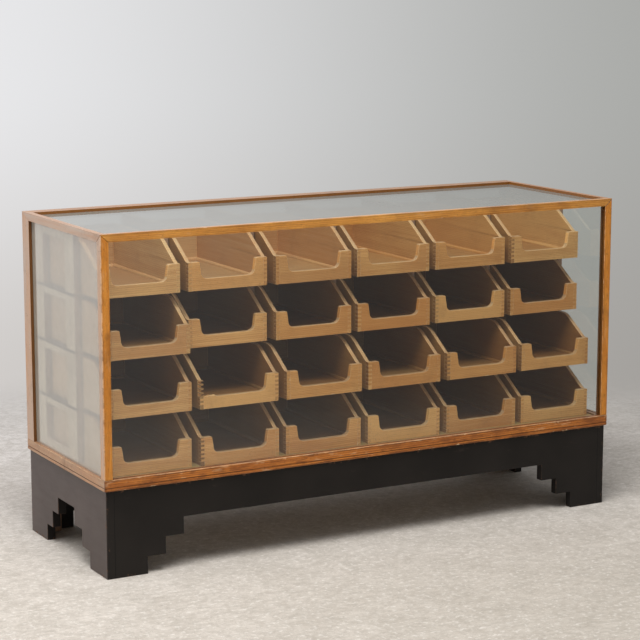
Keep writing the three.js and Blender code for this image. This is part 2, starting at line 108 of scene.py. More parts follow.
class Net:
    """A tree of nodes for a finish, the studio or a recipe of geometry."""

    def __init__(self, tree):
        self.tree = tree
        tree.nodes.clear()

    def node(self, kind, values=None, settings=None, out=0):
        made = self.tree.nodes.new(kind)
        for name, value in (settings or {}).items():
            setattr(made, name, value)
        for name, value in (values or {}).items():
            if isinstance(value, Wire):
                self.tree.links.new(value.socket, made.inputs[name])
            else:
                made.inputs[name].default_value = value
        return Wire(self, made.outputs[out]) if len(made.outputs) else made

    def sum(self, operation, *values):
        return self.node("ShaderNodeMath", dict(enumerate(values)), {"operation": operation})

    def vector(self, operation, *values, out=0):
        settings = {"operation": operation}
        return self.node("ShaderNodeVectorMath", dict(enumerate(values)), settings, out)

    def scaled(self, vector, factor):
        values = {0: vector, "Scale": factor}
        return self.node("ShaderNodeVectorMath", values, {"operation": "SCALE"})

    def parts(self, vector):
        first = self.node("ShaderNodeSeparateXYZ", {0: vector})
        return [Wire(self, socket) for socket in first.socket.node.outputs]

    def joined(self, x, y, z):
        return self.node("ShaderNodeCombineXYZ", {0: x, 1: y, 2: z})

    def mix(self, share, first, second):
        """The first colour turned towards the second by a share from 0 to 1."""
        values = {0: share, 6: first, 7: second}
        return self.node("ShaderNodeMix", values, {"data_type": "RGBA"}, 2)

    def over(self, share, under, upper):
        """The upper shader over the one under it, by a share from 0 to 1."""
        return self.node("ShaderNodeMixShader", {0: share, 1: under, 2: upper})

    def noise(self, place, scale, detail=2.0, rough=0.5):
        values = {"Vector": place, "Scale": scale, "Detail": detail, "Roughness": rough}
        return self.node("ShaderNodeTexNoise", values)

    def grained(self, place, along, across, detail=2.0, rough=0.5):
        """Noise drawn out along the grain of a board."""
        stretched = self.vector("MULTIPLY", place, (along, across, across))
        return self.noise(stretched, 1.0, detail, rough)

    def step(self, value, start, end):
        """0 before start and 1 after end, with a soft change between."""
        values = {"Value": value, "From Min": start, "From Max": end}
        return self.node("ShaderNodeMapRange", values, {"interpolation_type": "SMOOTHSTEP"})

    def saved(self, name, out="Vector"):
        return self.node("ShaderNodeAttribute", None, {"attribute_name": name}, out)


def finish_named(name):
    made = bpy.data.materials.new(name)
    made.use_nodes = True
    return made, Net(made.node_tree)


def shade(red, green, blue):
    """A colour as it looks on a screen, from 0 to 255, as the number that a shader takes."""
    parts = [
        part / 3294.6 if part < 10.3 else ((part / 255 + 0.055) / 1.055) ** 2.4
        for part in (red, green, blue)
    ]
    return (*parts, 1)


def darker(colour, share):
    """The colour brought down to a share of its light."""
    return (*[share * part for part in colour[:3]], 1)


def own_place(net):
    """Each point's place in the timber, which differs from board to board."""
    seed = net.saved("seed", "Fac")
    shift = net.joined(seed * 7.31, seed * 3.17, seed * 5.71)
    return net.vector("ADD", net.saved("board"), shift)


def from_edges(net):
    """How far each point lies from the ends of its board, and from the nearest edge."""
    gaps = net.vector("SUBTRACT", net.saved("half"), net.vector("ABSOLUTE", net.saved("board")))
    along, across, through = net.parts(gaps)
    nearer = net.sum("MINIMUM", along, across)
    farther = net.sum("MAXIMUM", along, across)
    return along, net.sum("MAXIMUM", nearer, net.sum("MINIMUM", farther, through))


RELIEF_DEPTH = 0.0005


def surfaced(net, relief, height, values):
    """Gives a finish its shader, with the height as fine relief on the surface."""
    bump = {"Strength": relief, "Distance": RELIEF_DEPTH, "Height": height}
    values["Normal"] = net.node("ShaderNodeBump", bump)
    surface = net.node("ShaderNodeBsdfPrincipled", values)
    net.node("ShaderNodeOutputMaterial", {"Surface": surface})


def wood(
    name, pale, deep, bare, ring, figure, pores, rough, grime,
    lacquer=0.0, shine=0.5, rub=0.002, rub_and_highlight_share=0.6, edge_highlight=0.12, edge_grime=0.0,
    fibres=0.8, streaks=0.0, nicks=0.0, blotches=0.0, spread=0.3, glow=None, sheen_and_dust_colour=None,
):
    """Sawn wood with rings, fibres and pores along each board, rubbed edges and dirt, and the
    painted highlight, sheen and shade that its faces are marked with.
    """
    made, net = finish_named(name)
    marks = ("seed", "rim_wear_and_highlight", "stain", "sunk", "sheen_and_dust")
    seed, rim_wear_and_highlight, stain, sunk, sheen_and_dust = [net.saved(key, "Fac") for key in marks]
    place = own_place(net)
    drift = net.grained(place, 1.3, 9.0)
    x, y, z = net.parts(net.saved("board"))
    pith = net.vector(
        "LENGTH", net.joined(0.0, y * 0.6 + 0.01, z + 0.03 + net.sum("FRACT", seed) * 0.05), out=1
    )
    rings = net.sum("FRACT", (pith + (drift - 0.5) * 0.03) / ring) ** 2.0
    fibre = net.grained(place, 14.0, 520.0, 3.0, 0.6)
    long_pores = net.grained(place, 130.0, 1900.0, 1.0)
    dark_pores = net.step(long_pores, 0.58, 0.68) * (0.35 + rings * 0.65)
    cloud = net.noise(place, 7.0, 2.0)
    own_tone = (net.sum("FRACT", seed * 3.7) - 0.5) * spread
    streak = net.grained(place, 6.0, 150.0, 3.0, 0.6)
    tone = rings * figure + (fibre - 0.5) * fibres + (cloud - 0.5) * 0.9 + own_tone + 0.34
    colour = net.mix(net.step(tone + (streak - 0.5) * streaks, 0.0, 1.0), pale, deep)
    if glow:
        colour = net.mix(net.sum("FRACT", seed * 2.3) * 0.5, colour, glow)
    colour = net.mix(dark_pores * pores, colour, darker(deep, 0.35))
    if blotches:
        blotch = net.grained(place, 22.0, 90.0, 4.0, 0.65)
        worn_dark = net.step(blotch, 0.53, 0.62) * blotches
        colour = net.mix(worn_dark, colour, darker(deep, 0.55))
        worn_pale = (1.0 - net.step(blotch, 0.35, 0.42)) * blotches * 0.5
        colour = net.mix(worn_pale, colour, bare)

    # Towards the edges of the board: what is rubbed and soiled there, with painted highlights on
    # the rims; and where faces are marked, painted sheen and painted shade
    along, edge = from_edges(net)
    wander = net.noise(place, 60.0, 3.0, 0.65)
    patches = net.step(net.noise(place, 16.0, 2.0), 0.46, 0.7)
    reach = net.step(wander, 0.5, 0.8) * rub * 3.0 * patches + rub * 0.1
    rubbed = 1.0 - net.step(edge, reach * 0.4, reach)
    # Faces marked paler take the pale colour: painted sheen at the left end, painted light on the
    # left-hand fronts, paler rail tops and upper edges, and dust inside some drawers
    if sheen_and_dust_colour:
        made_paler = sheen_and_dust * (0.72 + (cloud - 0.5) * 0.8 - (streak - 0.5) * 1.1)
        colour = net.mix(made_paler, colour, sheen_and_dust_colour)
    line = net.step(edge, 0.0004, 0.0012) * (1.0 - net.step(edge, 0.0022, 0.0042))
    line = line * net.step(net.noise(place, 24.0, 3.0, 0.6), 0.36, 0.56) * (1.0 - sheen_and_dust)
    colour = net.mix(line * edge_grime, colour, darker(deep, 0.22))
    specks = net.step(net.noise(place, 230.0, 2.0, 0.6), 0.66, 0.72)
    colour = net.mix(specks * nicks, colour, darker(deep, 0.2))
    # Rubbed edges, and a painted highlight along the rims, show the bare colour
    broken_up = 0.5 + net.step(wander, 0.4, 0.62)
    rubbed_and_highlit = net.sum("MAXIMUM", rubbed * patches, rim_wear_and_highlight * edge_highlight * broken_up)
    rubbed_and_highlit = rubbed_and_highlit * rub_and_highlight_share
    colour = net.mix(rubbed_and_highlit, colour, bare)
    if edge_grime:
        dashes = rim_wear_and_highlight * net.step(net.noise(place, 85.0, 4.0, 0.7), 0.5, 0.58)
        colour = net.mix(dashes * 0.5, colour, darker(deep, 0.3))
    dirt = net.step(net.noise(place, 11.0, 4.0, 0.7), 0.5, 0.8) * grime
    colour = net.mix(dirt, colour, darker(deep, 0.3))
    end_grain = 1.0 - net.step(along, 0.0003, 0.0006)
    # End grain and dark joints are darker; faces marked with painted shade are darkened too
    dark_grain_and_shade = net.sum("MAXIMUM", end_grain * (0.15 + stain * 0.6), sunk * 0.8)
    colour = net.mix(dark_grain_and_shade, colour, darker(deep, 0.25))

    height = fibre * 0.5 - dark_pores * 0.8 - rings * 0.15 - rubbed_and_highlit * 0.2 + wander * 0.2
    values = {
        "Base Color": colour,
        "Roughness": rough + (cloud - 0.5) * 0.16 + rubbed_and_highlit * 0.2 + dark_pores * 0.1,
        "Specular IOR Level": shine,
        "Coat Roughness": 0.22,
        "Coat Weight": lacquer,
    }
    surfaced(net, 0.35, height, values)
    return made


class Bench:
    """Boards laid together as one piece, each with its own grain direction and place."""

    def __init__(self):
        self.points, self.faces = [], []
        self.rims, self.sunk, self.sheen_and_dust = [], [], []
        self.saved = {"board": [], "half": [], "seed": [], "stain": []}

    def lay(self, points, faces, rims, grain, seed, stain=0.0, low=None, high=None, marks=None):
        """Adds a board whose grain runs along the given axis, from its low to its high corner."""
        start = len(self.points)
        low = low or [min(point[axis] for point in points) for axis in range(3)]
        high = high or [max(point[axis] for point in points) for axis in range(3)]
        order = [grain] + [axis for axis in range(3) if axis != grain]
        middle = [(low[axis] + high[axis]) / 2 for axis in order]
        half = [(high[axis] - low[axis]) / 2 for axis in order]
        for point in points:
            self.points.append(tuple(point))
            self.saved["board"].append(
                tuple(point[axis] - centre for axis, centre in zip(order, middle))
            )
            self.saved["half"].append(tuple(half))
            self.saved["seed"].append(seed)
            self.saved["stain"].append(stain)
        self.faces += [tuple(start + corner for corner in face) for face in faces]
        self.rims += rims
        sunk, sheen_and_dust = marks or ([0.0] * len(faces), [0.0] * len(faces))
        self.sunk += sunk
        self.sheen_and_dust += sheen_and_dust

    def piece(self, name, finish, shift=(0.0, 0.0, 0.0), reseed=0.0):
        """All boards as one object, moved by a shift, in timber of its own."""
        mesh = bpy.data.meshes.new(name)
        moved = [tuple(a + b for a, b in zip(point, shift)) for point in self.points]
        mesh.from_pydata(moved, [], self.faces)
        for key, values in self.saved.items():
            wide = isinstance(values[0], tuple)
            layer = mesh.attributes.new(key, "FLOAT_VECTOR" if wide else "FLOAT", "POINT")
            if wide:
                layer.data.foreach_set("vector", [part for value in values for part in value])
            else:
                extra = reseed if key == "seed" else 0.0
                layer.data.foreach_set("value", [value + extra for value in values])
        face_marks = (("rim_wear_and_highlight", self.rims), ("sunk", self.sunk), ("sheen_and_dust", self.sheen_and_dust))
        for key, values in face_marks:
            mesh.attributes.new(key, "FLOAT", "FACE").data.foreach_set("value", values)
        mesh.materials.append(finish)
        mesh.validate()
        return set_up(name, mesh)


SQUARE_ON = 0.99
TOUCHING = 0.0002
SAME_POINT = 1e-5
SLIVER = 2e-5
FLAT_ANGLE = math.radians(1)
ARRIS_ANGLE = math.radians(25)
LEFT_EDGE_WIDTH = 0.012
REVEAL_SHADE = 1.15
INWARD = {"front": (0, 1, 0), "back": (0, -1, 0), "left": (1, 0, 0), "right": (-1, 0, 0)}

# How much paler and how much darker the top face of each side's rails is painted
TOP_MARKS = {"front": (0.5, 0.1), "left": (0.8, 0.3), "back": (0.6, 0.5), "right": (0.5, 0.35)}


def on_outside(face, low, high):
    """True for a slanted face, and for a flat one that lies on the box round its node."""
    for axis in range(3):
        if abs(face.normal[axis]) > SQUARE_ON:
            place = face.calc_center_median()[axis]
            return min(abs(place - low[axis]), abs(place - high[axis])) < TOUCHING
    return True


def eased_copy(node, grain, arris, slotted):
    """A node's solid, merged, with its arrises rubbed off, and how each face is marked."""
    low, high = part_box(node)
    solid = bmesh.new()
    solid.from_mesh(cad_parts[node].data)
    bmesh.ops.remove_doubles(solid, verts=solid.verts, dist=SAME_POINT)
    bmesh.ops.dissolve_limit(
        solid, angle_limit=FLAT_ANGLE, verts=solid.verts, edges=solid.edges
    )
    sharp = [
        edge
        for edge in solid.edges
        if edge.calc_face_angle(0) > ARRIS_ANGLE
        and (not slotted or all(on_outside(face, low, high) for face in edge.link_faces))
    ]
    cut = bmesh.ops.bevel(
        solid, geom=sharp, offset=arris, segments=1, affect="EDGES", clamp_overlap=True
    )
    bmesh.ops.dissolve_degenerate(solid, dist=SLIVER, edges=solid.edges)
    rims = {face for face in cut["faces"] if face.is_valid}
    solid.normal_update()
    solid.verts.index_update()
    points = [tuple(vert.co) for vert in solid.verts]
    faces = [tuple(vert.index for vert in face.verts) for face in solid.faces]
    side = node.split("_")[-1]
    reveal_shade = REVEAL_SHADE if "post" in node else 1.0
    lit_rims, sunk, sheen_and_dust = [], [], []
    for face in solid.faces:
        # Rims turned up or to the left, towards the lamps, are marked fully and the others at
        # 0.3: the wood paints a highlight from this mark, the black paint its chips
        to_light = max(face.normal.z, -face.normal.x) > 0.3
        at_mitre = face in rims and any(
            0.1 < abs(other.normal[grain]) < SQUARE_ON and other not in rims
            for edge in face.edges
            for other in edge.link_faces
            if edge.calc_length() > arris * 3
        )
        lit_rims.append(0.0 if at_mitre or face not in rims else 1.0 if to_light else 0.3)
        inner = slotted and not (face in rims or on_outside(face, low, high))
        inward = any(
            "_" + word in node and face.normal.dot(Vector(way)) > 0.9
            for word, way in INWARD.items()
        )
        on_top = slotted and "rail" in node and face.normal.z > 0.6 and not inner
        top_paler, top_darker = TOP_MARKS[side] if on_top else (0.0, 0.0)
        # Faces in reveals, slots and grooves, faces of slotted members that look into the case,
        # and rims at mitres get painted shade, deepest on the posts
        dark = inner or at_mitre or (slotted and inward)
        sunk.append(reveal_shade if dark else top_darker)
        # Faces at the left end that face left are painted paler: painted sheen of the light from
        # the left
        at_left = face.calc_center_median().x < cad_low.x + LEFT_EDGE_WIDTH
        made_paler = face.normal.x < -0.6 and at_left
        sheen_and_dust.append(1.0 if made_paler else top_paler)
    solid.free()
    return points, faces, lit_rims, (sunk, sheen_and_dust)


def next_seed():
    return draw.uniform(0, 40)


def member(node, grain, arris=0.0008, finish=None, slot="frame_oak", prefix="oak_"):
    """A member of the case in place of its node, its grain along the given axis."""
    bench = Bench()
    points, faces, lit_rims, marks = eased_copy(node, grain, arris, slot == "frame_oak")
    stain = 1.0 if node == "plinth_front" else 0.0
    seed = next_seed()
    bench.lay(points, faces, lit_rims, grain, CHOSEN_TIMBER.get(node, seed), stain, marks=marks)
    made = bench.piece(prefix + node, finish or golden_oak)
    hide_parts(node)
    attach(made, "case")
    return made


CHOSEN_TIMBER = {"post_front_right": 26.5, "rail_top_front": 20.9}
SIDES = (("front", 0), ("back", 0), ("left", 1), ("right", 1))
CORNERS = ("front_left", "front_right", "back_left", "back_right")
draw = random.Random(11)
golden_oak = wood(
    "golden_oak", shade(220, 156, 72), shade(166, 102, 37), shade(228, 196, 158),
    ring=0.0042, figure=0.4, pores=0.5, rough=0.42, lacquer=0.2, shine=0.35, rub=0.0014,
    rub_and_highlight_share=0.8, grime=0.45, streaks=0.6, edge_grime=0.25, nicks=0.5, edge_highlight=0.4,
    blotches=0.22, glow=shade(214, 122, 4), sheen_and_dust_colour=shade(192, 171, 155),
)
worn_oak = wood(
    "worn_oak", shade(212, 132, 50), shade(146, 78, 26), shade(226, 194, 152),
    ring=0.0042, figure=0.45, pores=0.6, rough=0.45, lacquer=0.2, shine=0.35, rub=0.0042,
    rub_and_highlight_share=0.85, grime=0.75, streaks=0.7, edge_grime=0.6, nicks=0.6, edge_highlight=0.5,
    blotches=0.55, sheen_and_dust_colour=shade(180, 146, 116),
)
for side, grain in SIDES:
    member("rail_bottom_" + side, grain, finish=worn_oak)

# Corner posts: square oak uprights at the front and deeper ones at the back, standing on
# the bottom rails and mitred into the top rails.
for corner in CORNERS:
    member("post_" + corner, 2)

# Top rails: thin strips of oak, mitred to each other and to the posts, with a ledge inside
# that the top pane lies on and slots below it for the other panes.
for side, grain in SIDES:
    member("rail_top_" + side, grain)

# Panes: old drawn sheet glass in slots at the front and the ends, and laid on the ledge at
# the top. It is a little dusty, and greenish at its cut edges.
GLASS_BEND = 1.5


def sheet_glass(name, thin_axis, dust, dust_colour, gleam, lean):
    """Clear glass under a film of dust, which hides more where it is seen at a slant."""
    made, net = finish_named(name)
    geometry = net.node("ShaderNodeNewGeometry", out="Normal")
    behind = Wire(net, geometry.socket.node.outputs["Backfacing"])
    normal = net.parts(geometry)
    flat = net.step(net.sum("ABSOLUTE", normal[thin_axis]), 0.4, 0.6)
    place = net.node("ShaderNodeTexCoord", out="Object")
    once = net.node("ShaderNodeFresnel", {"IOR": GLASS_BEND})
    both = once * 2.0 / (once + 1.0)
    smear = net.noise(place, 5.0, 4.0, 0.7)
    facing = 1.0 - net.node("ShaderNodeLayerWeight", {"Blend": 0.5}, out="Facing")
    thickness = (0.8 + net.step(smear, 0.3, 0.75) * 0.4) * dust
    thickness = thickness * (1.0 - net.parts(place)[0] * lean)
    film = thickness / (facing * facing + thickness)
    clear = net.node("ShaderNodeBsdfTransparent", {"Color": (0.955, 0.98, 0.965, 1)})
    through = net.node("ShaderNodeBsdfTransparent")
    mirror = {"Color": (gleam, gleam, gleam, 1), "Roughness": 0.03}
    mirror = net.node("ShaderNodeBsdfAnisotropic", mirror)
    haze = net.node("ShaderNodeBsdfPrincipled", {"Base Color": dust_colour, "Roughness": 0.6})
    edge = {"Base Color": shade(132, 158, 140), "Roughness": 0.15}
    edge = net.node("ShaderNodeBsdfPrincipled", edge)
    front = net.over(both, net.over(film, clear, haze), mirror)
    whole = net.over(flat, edge, net.over(behind, front, through))
    net.node("ShaderNodeOutputMaterial", {"Surface": whole})
    return made


GREY_DUST = shade(180, 183, 180)
WARM_DUST = shade(203, 197, 185)
TOP_DUST = shade(182, 182, 174)
for side, thin_axis, dust, dust_colour, gleam, lean in (
    ("front", 1, 0.0125, GREY_DUST, 0.9, 1.0),
    ("left", 0, 0.17, WARM_DUST, 1.0, 0.0),
    ("right", 0, 0.009, GREY_DUST, 0.8, 0.0),
    ("top", 2, 0.085, TOP_DUST, 0.56, 0.0),
):
    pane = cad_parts["pane_" + side]
    pane.data.materials.clear()
    pane.data.materials.append(
        sheet_glass("sheet_glass_" + side, thin_axis, dust, dust_colour, gleam, lean)
    )

# Case floor: a pale softwood board between the bottom rails, on which the lowest drawers
# and the ladder frames stand.
floor_wood = wood(
    "floor_softwood", shade(188, 158, 98), shade(146, 110, 56), shade(205, 190, 150),
    ring=0.006, figure=0.4, pores=0.1, rough=0.6, grime=0.35,
)
member("case_floor", 0, 0.0006, floor_wood, "floor_wood", "softwood_")

# Ladder frames: two stiles with rungs between the columns of drawers, and a runner on each
# rung that reaches under the drawer sides. They are plain softwood gone brown.
LADDER_STILES = (0.048, 0.046)
RUNG_HEIGHT = 0.020
RUNNER_HEIGHT = 0.0075
LADDER_ARRIS = 0.0006
LADDER_RAIL_ARRIS = 0.0004
WALL = 0.012
ROW_PITCH = 0.1172
ROWS, COLUMNS = 4, 6
HAIR = 0.0001


def recipe_named(name, sizes):
    """A tree of geometry nodes with the named sizes as its inputs, and their wires."""
    tree = bpy.data.node_groups.new(name, "GeometryNodeTree")
    net = Net(tree)
    kinds = {float: "Float", int: "Int", tuple: "Vector", bpy.types.Material: "Material"}
    for label, value in sizes.items():
        kind = "NodeSocket" + kinds[type(value)]
        tree.interface.new_socket(label, in_out="INPUT", socket_type=kind)
    tree.interface.new_socket("Geometry", in_out="OUTPUT", socket_type="NodeSocketGeometry")
    first = net.node("NodeGroupInput")
    wires = {socket.name: Wire(net, socket) for socket in first.socket.node.outputs}
    return net, wires


def finished_recipe(net, shape, material):
    whole = net.node("GeometryNodeRealizeInstances", {0: shape})
    whole = net.node("GeometryNodeSetMaterial", {"Geometry": whole, "Material": material})
    net.node("NodeGroupOutput", {0: whole})


def made_by(net, sizes):
    """Runs a recipe with its sizes and gives the result as a plain mesh."""
    holder = set_up("holder", bpy.data.meshes.new("holder"))
    recipe = holder.modifiers.new("recipe", "NODES")
    recipe.node_group = net.tree
    for item in net.tree.interface.items_tree:
        if item.in_out == "INPUT":
            recipe[item.identifier] = sizes[item.name]
    bpy.context.view_layer.update()
    whole = holder.evaluated_get(bpy.context.evaluated_depsgraph_get())
    mesh = bpy.data.meshes.new_from_object(whole)
    bpy.data.objects.remove(holder)
    return mesh


def eased_block(net, size, arris):
    """A block with its edges taken off: the hull of three crossed blocks."""
    trim = arris * 2.0
    crossed = net.node("GeometryNodeJoinGeometry")
    for keep in ((0, 1, 1), (1, 0, 1), (1, 1, 0)):
        less = net.vector("SUBTRACT", size, net.scaled(keep, trim))
        block = net.node("GeometryNodeMeshCube", {"Size": less})
        net.tree.links.new(block.socket, crossed.socket.node.inputs[0])
    return net.node("GeometryNodeConvexHull", {0: crossed})


def on_board(net, shape, size, seed):
    """Saves each point's place on its board, whose grain runs along the depth."""
    x, y, z = net.parts(net.node("GeometryNodeInputPosition"))
    width, length, height = net.parts(size)
    halves = net.scaled(net.joined(length, width, height), 0.5)
    for name, kind, value in (
        ("board", "FLOAT_VECTOR", net.joined(y, x, z)),
        ("half", "FLOAT_VECTOR", halves),
        ("seed", "FLOAT", seed),
    ):
        values = {"Geometry": shape, "Name": name, "Value": value}
        shape = net.node("GeometryNodeStoreNamedAttribute", values, {"data_type": kind})
    return shape


def hung_block(net, size, arris, seed, sideways=0.0):
    """An eased block on its own board, hung with its top at the height of the origin."""
    block = on_board(net, eased_block(net, size, arris), size, seed)
    move = net.joined(sideways, 0.0, net.parts(size)[2] * -0.5)
    return net.node("GeometryNodeTransform", {"Geometry": block, "Translation": move})


def row_of(net, shape, count, pitch):
    """The shape again and again, each a pitch above the one before."""
    line = {"Count": count, "Offset": net.joined(0.0, 0.0, pitch)}
    line = net.node("GeometryNodeMeshLine", line)
    return net.node("GeometryNodeInstanceOnPoints", {"Points": line, "Instance": shape})


ladder_wood = wood(
    "ladder_softwood", shade(178, 142, 114), shade(130, 98, 76), shade(226, 210, 186),
    ring=0.005, figure=0.5, pores=0.15, rough=0.65, grime=0.4, edge_highlight=0.6,
    sheen_and_dust_colour=shade(224, 209, 184),
)
rung_sizes = {
    "Rungs": ROWS - 1,
    "Pitch": ROW_PITCH,
    "Rung": (WALL, 0.12, RUNG_HEIGHT),
    "Runner": (0.032, 0.2, RUNNER_HEIGHT),
    "Runner Shift": 0.0,
    "Arris": LADDER_ARRIS,
    "Seed": 1.0,
    "Wood": ladder_wood,
}
rung_net, wire = recipe_named("ladder_rungs", rung_sizes)
rung = hung_block(rung_net, wire["Rung"], wire["Arris"], wire["Seed"])
runner = hung_block(
    rung_net, wire["Runner"], wire["Arris"], wire["Seed"] + 3.7, wire["Runner Shift"]
)
seat = rung_net.node("GeometryNodeJoinGeometry")
for shape in (rung, runner):
    rung_net.tree.links.new(shape.socket, seat.socket.node.inputs[0])
finished_recipe(rung_net, row_of(rung_net, seat, wire["Rungs"], wire["Pitch"]), wire["Wood"])


def chamfered(outline, arris):
    """The same outline with each outward corner taken off."""
    made = []
    count = len(outline)
    for place, corner in enumerate(outline):
        here = Vector(corner)
        before = Vector(outline[place - 1]) - here
        after = Vector(outline[(place + 1) % count]) - here
        if before.cross(after) < 0 and min(before.length, after.length) > arris * 2.5:
            made += [tuple(here + way.normalized() * arris) for way in (before, after)]
        else:
            made.append(corner)
    return made


def drawn_in(outline, gap):
    """The outline moved inwards by a gap."""
    made = []
    count = len(outline)
    for place, (a, b) in enumerate(outline):
        before = (Vector((a, b)) - Vector(outline[place - 1])).normalized()
        after = (Vector(outline[(place + 1) % count]) - Vector((a, b))).normalized()
        left_of = Vector((-before.y, before.x)) + Vector((-after.y, after.x))
        reach = gap / max(0.35, (1 + before.dot(after)) / 2)
        made.append((a + left_of.x / 2 * reach, b + left_of.y / 2 * reach))
    return made


def slab(outline, near, far, axis, arris):
    """Points, faces and rims of a board sawn to an outline, with eased rims."""
    following = outline[1:] + outline[:1]
    turn = sum(a * d - b * c for (a, b), (c, d) in zip(outline, following))
    outline = outline if turn > 0 else outline[::-1]
    first, second = [(1, 2), (0, 2), (0, 1)][axis]
    inside = drawn_in(outline, arris)
    levels = [(inside, near), (outline, near + arris), (outline, far - arris), (inside, far)]
    points, faces, rims = [], [], []
    count = len(outline)
    for ring_points, along in levels:
        for a, b in ring_points:
            point = [0.0, 0.0, 0.0]
            point[axis], point[first], point[second] = along, a, b
            points.append(tuple(point))
    for level in range(3):
        for place in range(count):
            here = level * count + place
            beside = level * count + (place + 1) % count
            faces.append((here, beside, beside + count, here + count))
            rims.append(0.0 if level == 1 else 1.0)
    faces.append(tuple(reversed(range(count))))
    faces.append(tuple(range(3 * count, 4 * count)))
    rims += [0.0, 0.0]
    if axis == 1:
        faces = [face[::-1] for face in faces]
    return points, faces, rims


def plank(low, high, arris):
    """Points, faces and rims of a straight board between two corners."""
    (a0, b0, c0), (a1, b1, c1) = low, high
    outline = chamfered([(a0, b0), (a1, b0), (a1, b1), (a0, b1)], arris)
    return slab(outline, c0, c1, 2, arris)


def lay_rungs(bench, mesh, shift):
    """Adds the rungs and runners, whose boards the recipe has saved with them."""
    start = len(bench.points)
    bench.points += [tuple(a + b for a, b in zip(vert.co, shift)) for vert in mesh.vertices]
    for key in ("board", "half"):
        bench.saved[key] += [tuple(item.vector) for item in mesh.attributes[key].data]
    bench.saved["seed"] += [item.value for item in mesh.attributes["seed"].data]
    bench.saved["stain"] += [0.0] * len(mesh.vertices)
    bench.faces += [tuple(start + corner for corner in face.vertices) for face in mesh.polygons]
    for marks in (bench.rims, bench.sunk, bench.sheen_and_dust):
        marks += [0.0] * len(mesh.polygons)


case_floor_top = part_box("case_floor")[1].z
for number in range(1, COLUMNS + 2):
    node = f"ladder_frame_{number}"
    low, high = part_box(node)
    left_end, right_end = number == 1, number == COLUMNS + 1
    wall_left = low.x if left_end else high.x - WALL if right_end else (low.x + high.x - WALL) / 2
    wall_right = wall_left + WALL
    bench = Bench()
    between = (low.y + LADDER_STILES[0], high.y - LADDER_STILES[1])
    for near, far in ((low.y, between[0]), (between[1], high.y)):
        stile = plank((wall_left, near, low.z), (wall_right, far, high.z), LADDER_ARRIS)
        bench.lay(*stile, 2, next_seed())
    for bottom in (low.z, high.z - RUNG_HEIGHT):
        rail_low = (wall_left, between[0], bottom)
        rail_high = (wall_right, between[1], bottom + RUNG_HEIGHT)
        bench.lay(*plank(rail_low, rail_high, LADDER_RAIL_ARRIS), 1, next_seed())
    rung_sizes["Rung"] = (WALL, between[1] - between[0], RUNG_HEIGHT)
    rung_sizes["Runner"] = (high.x - low.x, high.y - low.y, RUNNER_HEIGHT)
    rung_sizes["Runner Shift"] = (low.x + high.x - wall_left - wall_right) / 2
    rung_sizes["Seed"] = next_seed()
    shift = ((wall_left + wall_right) / 2, (low.y + high.y) / 2, case_floor_top + ROW_PITCH)
    lay_rungs(bench, made_by(rung_net, rung_sizes), shift)
    # Top faces of the ladders get a painted highlight, and the left faces of the end ladder
    # painted sheen
    for place, face in enumerate(bench.faces):
        corners = [bench.points[corner] for corner in face]
        if all(c > high.z - HAIR for a, b, c in corners):
            bench.rims[place] = 1.0
        elif left_end and all(a < wall_left + HAIR for a, b, c in corners):
            bench.sheen_and_dust[place] = 1.0
    ladder = bench.piece(f"ladder_{number}_softwood", ladder_wood)
    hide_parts(node)
    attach(ladder, "case")

# Drawers: twenty-four open boxes of pale hardwood. The front is scooped out and the sides
# sweep down to its ears, and they are dovetailed together and to the back, with a thin bottom
# in grooves and a small quadrant bead round it inside.
DRAWER_WIDTH = 0.1791
DRAWER_LENGTH = 0.326
DRAWER_HEIGHT = 0.104
FRONT_THICKNESS = 0.011
SIDE_THICKNESS = 0.008
BACK_THICKNESS = 0.009
BOTTOM_LOW, BOTTOM_HIGH = 0.006, 0.012
EAR_WIDTH, EAR_HEIGHT, EAR_ROUND = 0.026, 0.059, 0.0035
SCOOP_FLOOR, SCOOP_FLARE, SCOOP_RADIUS = 0.024, 0.0025, 0.016
KNEE = (0.066, 0.095)
CROWN_DEPTH, CROWN_END = 0.0795, 0.092
PIN_PITCH, PIN_SHARE, PIN_SPLAY, FIRST_PIN = 0.0088, 0.0044, 0.0009, 0.0115
JOINT_SLACK = 0.00015
BOARD_ARRIS = 0.0005
BEAD_SIZE = 0.006
GROOVE = 0.003

# The drawer that has lost its left ear, and its splintered edge: each point's place across,
# and its height over the break
BROKEN_DRAWER = (3, 2)
BREAK_HEIGHT, BREAK_END, PINS_LEFT = 0.026, 0.037, 2
BROKEN_EDGE = (
    (SIDE_THICKNESS, -0.001), (0.0125, 0.0004), (0.0165, -0.0006),
    (0.0215, 0.0007), (0.029, -0.0002), (0.0345, 0.0009),
)

# Painted shade on the bottom and the walls inside, by row, and the dust on them, by drawer
INSIDE_SHADE = {1: (0.84, 0.48), 2: (0.95, 0.9), 3: (0.95, 0.9), 4: (0.95, 0.9)}
INSIDE_DUST = {(1, 1): 0.3, (1, 2): 0.35, (1, 3): 0.2}

# Painted shade on the fronts towards the right and painted light on those at the left, by column
FRONT_SHADE = {3: 0.06, 4: 0.12, 5: 0.2, 6: 0.2}
FRONT_PAINTED_LIGHT = {1: 0.1, 2: 0.06}

# The outer sides: painted shade in the gaps and by row at the ends, and painted sheen at the left
# end
GAP_SHADE = 0.8
END_SHADE = {1: 0.5, 2: 0.32, 3: 0.16, 4: 0.3}
END_SHEEN = 0.8

# On the upper edges: the share of painted highlight, and how much darker and how much paler they
# are painted
EDGE_MARKS = (0.5, 0.42, 0.4)

# Drawers whose left side shows its end grain dark between the pins, and how dark
DARK_JOINTS = {(4, 2): 1.0, (3, 5): 0.9, (1, 6): 0.8, (3, 2): 0.8, (2, 5): 0.5, (4, 5): 0.4}

